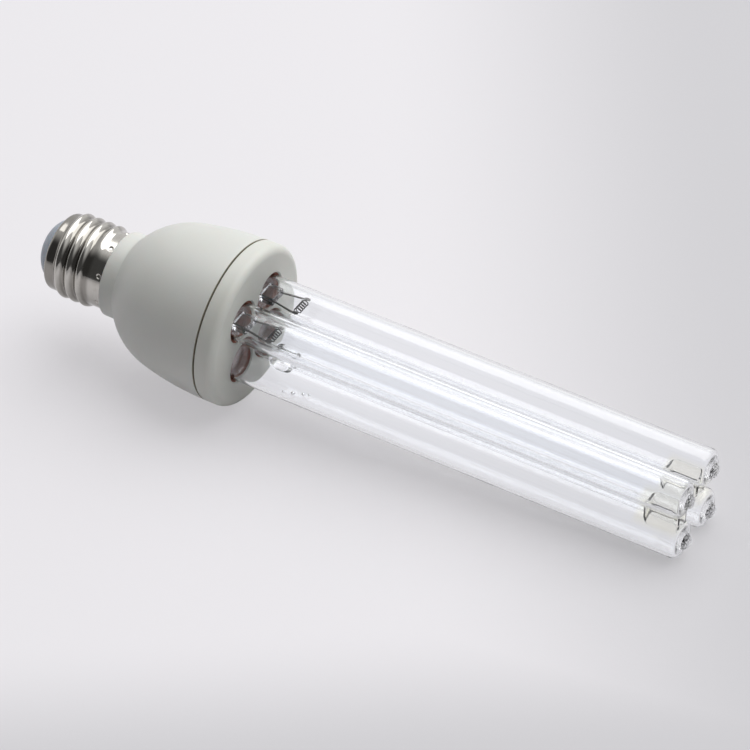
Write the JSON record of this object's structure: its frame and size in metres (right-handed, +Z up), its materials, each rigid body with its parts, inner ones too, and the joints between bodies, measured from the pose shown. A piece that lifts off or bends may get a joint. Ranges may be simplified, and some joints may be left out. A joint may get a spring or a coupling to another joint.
{
  "type": "quartz uv lamp",
  "caption": "Self-ballasted quartz UV lamp: screw cap, bowl-shaped plastic case with a flat lid, and straight clear tubes joined by short bridges.",
  "frame": {"origin": "on the ground under the middle of the lying lamp", "axes": "+X along the lamp from the cap to the tube tips, +Y away from the viewer, +Z up"},
  "size_m": [0.2228, 0.051, 0.0515],
  "materials": {
    "cap_nickel": "bright nickel plate",
    "insulator_plastic": "smooth",
    "contact_brass": "plain",
    "case_plastic": "fine matt moulding",
    "cover_plastic": "fine matt moulding",
    "quartz": "clear polished quartz",
    "tungsten": "drawn wire",
    "lead_metal": "drawn wire",
    "foil_metal": "thin foil",
    "cement": "rough cement",
    "mercury": "liquid metal",
    "board": "pressed board",
    "capacitor_sleeve": "shrink sleeve",
    "ferrite": "pressed ferrite",
    "copper_winding": "enamelled wire",
    "component_black": "moulded",
    "film_red": "dipped",
    "film_green": "dipped",
    "resistor_body": "lacquered",
    "wire_insulation": "insulation"
  },
  "bodies": {
    "root": {"screw_shell": "cap_nickel", "cap_insulator": "insulator_plastic", "centre_contact": "contact_brass", "ballast_case": "case_plastic", "lamp_cover": "cover_plastic", "quartz_vessel": "quartz", "filament_far": "tungsten", "filament_near": "tungsten", "inner_leads_far": "lead_metal", "inner_leads_near": "lead_metal", "seal_foils_far": "foil_metal", "seal_foils_near": "foil_metal", "outer_leads_far": "lead_metal", "outer_leads_near": "lead_metal", "tube_cement": "cement", "mercury_beads": "mercury", "circuit_board": "board", "smoothing_capacitor": "capacitor_sleeve", "choke_core": "ferrite", "choke_winding": "copper_winding", "trigger_ring": "ferrite", "transistor_upper": "component_black", "transistor_lower": "component_black", "resonant_capacitor": "film_red", "start_capacitor": "film_green", "rectifier_diodes": "component_black", "base_resistors": "resistor_body", "fuse_resistor": "resistor_body", "contact_wire": "wire_insulation", "shell_wire": "wire_insulation"}
  },
  "joints": []
}
